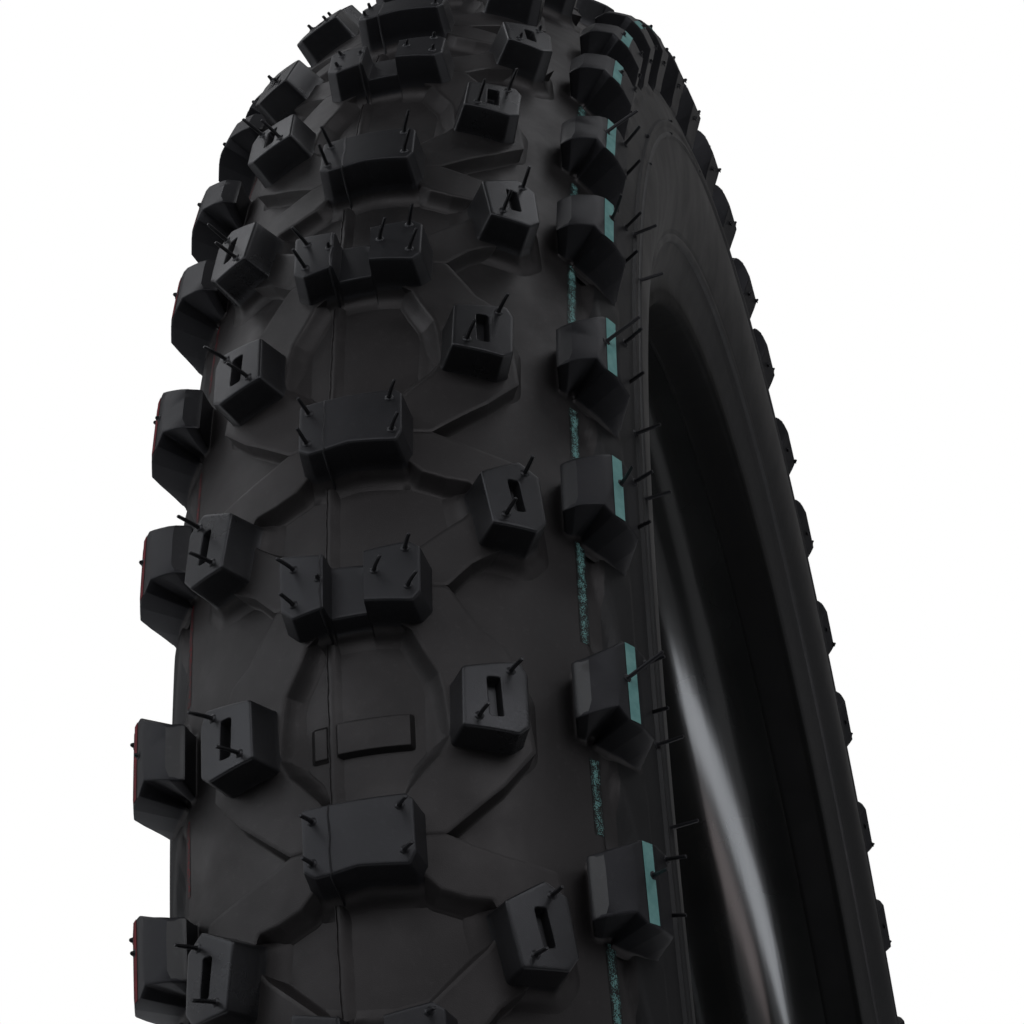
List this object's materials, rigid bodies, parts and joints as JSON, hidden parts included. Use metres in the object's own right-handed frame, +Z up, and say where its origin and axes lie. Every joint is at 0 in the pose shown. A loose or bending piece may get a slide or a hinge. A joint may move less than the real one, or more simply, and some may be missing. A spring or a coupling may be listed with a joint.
{
  "type": "off-road motorcycle tire",
  "caption": "Knobby off-road motorcycle front tire with solid and grooved centre blocks, slotted side blocks, shoulder blocks, tie bars, plies, liner and wired beads.",
  "frame": {"origin": "centre of the tire, where its spin axis crosses its centre plane", "axes": "+Y along the spin axis towards the right side, +Z up, +X across"},
  "size_m": [0.6934, 0.0806, 0.6934],
  "materials": {
    "tread": "satin, moulded tread rubber",
    "sidewall": "satin, moulded sidewall rubber",
    "chafer": "satin rubberised strip",
    "liner": "glossy smooth inner liner",
    "ply_cord": "rubberised nylon cord",
    "bead_steel": "bronze-coated bead wire",
    "bead_filler": "hard filler rubber",
    "teal_paint": "matt sprayed marking paint",
    "red_paint": "matt sprayed marking paint"
  },
  "bodies": {
    "root": {"inner_liner": "liner", "carcass_ply_inner": "ply_cord", "carcass_ply_outer": "ply_cord", "breaker_ply": "ply_cord", "undertread": "tread", "tread_base": "tread", "sidewall_left": "sidewall", "sidewall_right": "sidewall", "chafer_left": "chafer", "chafer_right": "chafer", "fitting_line_left": "sidewall", "fitting_line_right": "sidewall", "bead_wire_left": "bead_steel", "bead_wire_right": "bead_steel", "bead_filler_left": "bead_filler", "bead_filler_right": "bead_filler", "centre_blocks_solid": "tread", "centre_blocks_grooved": "tread", "inner_side_blocks_left": "tread", "inner_side_blocks_right": "tread", "outer_side_blocks_left": "tread", "outer_side_blocks_right": "tread", "shoulder_blocks_left": "tread", "shoulder_blocks_right": "tread", "tie_bars_left": "tread", "tie_bars_right": "tread", "wear_bars": "tread", "parting_ridge": "tread", "stripe_left": "red_paint", "stripe_right": "teal_paint"}
  },
  "joints": []
}
